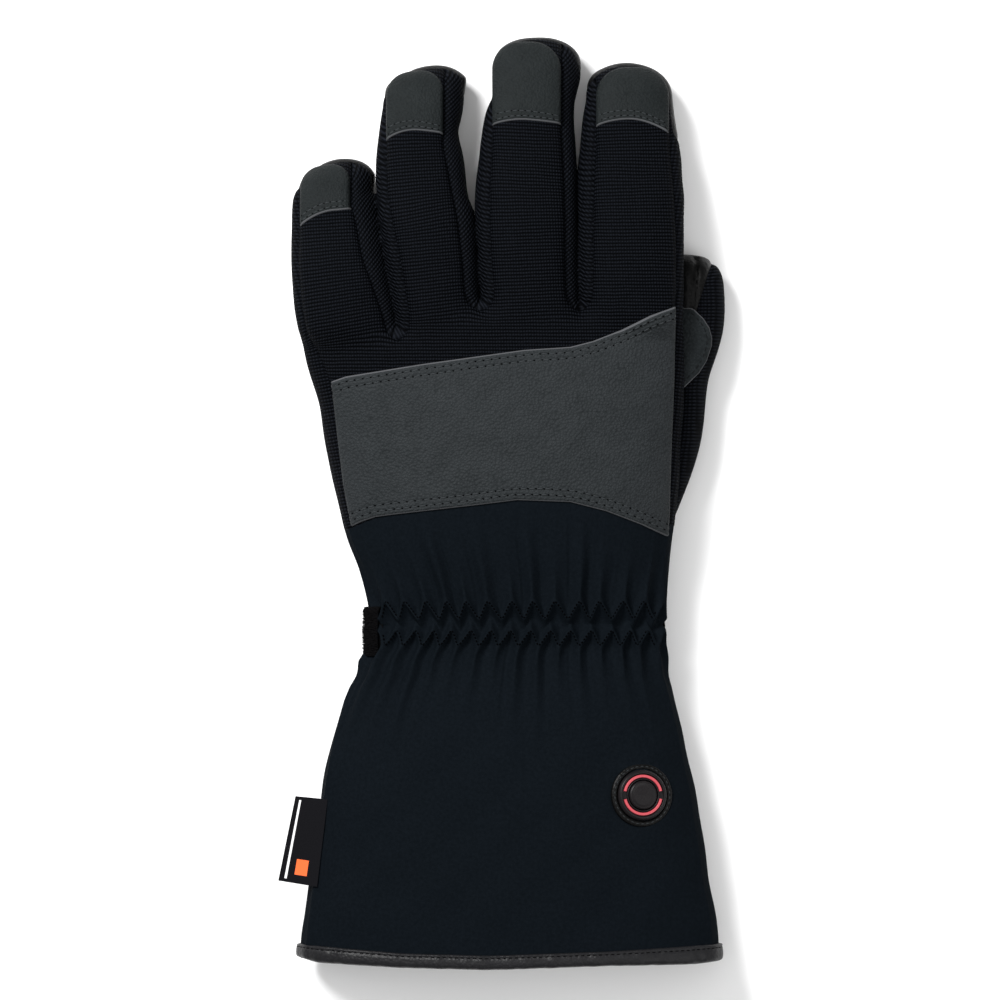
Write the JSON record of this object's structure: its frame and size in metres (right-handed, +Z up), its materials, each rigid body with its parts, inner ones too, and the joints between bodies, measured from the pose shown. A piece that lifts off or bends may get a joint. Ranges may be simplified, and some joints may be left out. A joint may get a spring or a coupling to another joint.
{
  "type": "heated glove",
  "caption": "Padded left-hand heated glove with a grey leather knuckle panel, a gathered wrist, a long cuff and a lit push button, lying palm down.",
  "frame": {"origin": "on the surface that the glove lies on, under the middle of its outline", "axes": "+Y along the glove to the fingertips, +X to the thumb, +Z up out of the back of the hand"},
  "size_m": [0.1598, 0.3342, 0.0426],
  "materials": {
    "ribbed_cloth": "ribbed stretch cloth",
    "grey_leather": "pebbled grain",
    "black_leather": "fine grain, satin",
    "softshell": "smooth matt weave",
    "webbing": "hook and loop",
    "label_cloth": "woven label with stripes",
    "button_rubber": "moulded, satin",
    "red_light": "lit diffuser"
  },
  "bodies": {
    "glove": {"palm_panel": "black_leather", "back_panel": "ribbed_cloth", "side_little": "ribbed_cloth", "fourchette_little_ring": "ribbed_cloth", "fourchette_ring_middle": "ribbed_cloth", "fourchette_middle_index": "ribbed_cloth", "side_index": "ribbed_cloth", "fingertip_little": "grey_leather", "fingertip_ring": "grey_leather", "fingertip_middle": "grey_leather", "fingertip_index": "grey_leather", "knuckle_panel": "grey_leather", "thumb_back": "ribbed_cloth", "thumb_leather": "black_leather", "thumb_patch": "grey_leather", "cuff_back": "softshell", "cuff_palm": "softshell", "hem_binding": "black_leather", "wrist_strap": "webbing", "strap_loop": "webbing", "side_label": "label_cloth", "button_patch": "black_leather", "button_body": "button_rubber", "button_light_upper": "red_light", "button_light_lower": "red_light"},
    "button": {"button_cap": "button_rubber"}
  },
  "joints": [
    {"name": "button_press", "type": "slide", "parent": "glove", "child": "button", "axis": [-0.2812, -0.0553, -0.9581], "range_m": [0, 0.0006], "stiffness_N_per_m": 1500}
  ]
}
